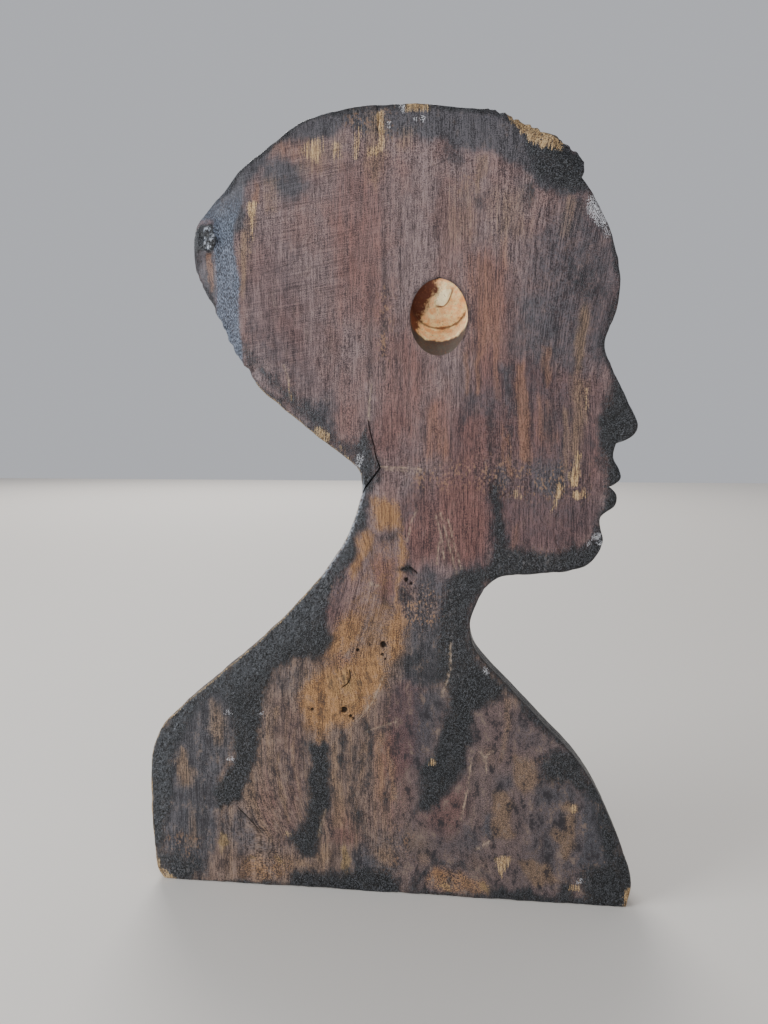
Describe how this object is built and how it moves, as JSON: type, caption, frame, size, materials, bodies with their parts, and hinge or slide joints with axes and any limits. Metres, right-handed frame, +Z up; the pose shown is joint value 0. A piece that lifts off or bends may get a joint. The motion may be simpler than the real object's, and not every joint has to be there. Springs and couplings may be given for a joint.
{
  "type": "carved wooden bust",
  "caption": "Half-relief profile bust carved from a thick wooden plank: long neck, swept-back hair, wrapped shoulders, flat sawn back with a slanting blind hanging hole.",
  "frame": {"origin": "middle of the underside, on the surface the bust stands on", "axes": "+Z up, the carved front faces -Y, the flat sawn back faces +Y, and the face looks towards -X"},
  "size_m": [0.2272, 0.0496, 0.356],
  "materials": {
    "stained_wood": "dark purplish-brown stain, rubbed and worn, near-black rims and bare golden wood where it is chipped"
  },
  "bodies": {
    "root": {"carved_bust": "stained_wood"}
  },
  "joints": []
}
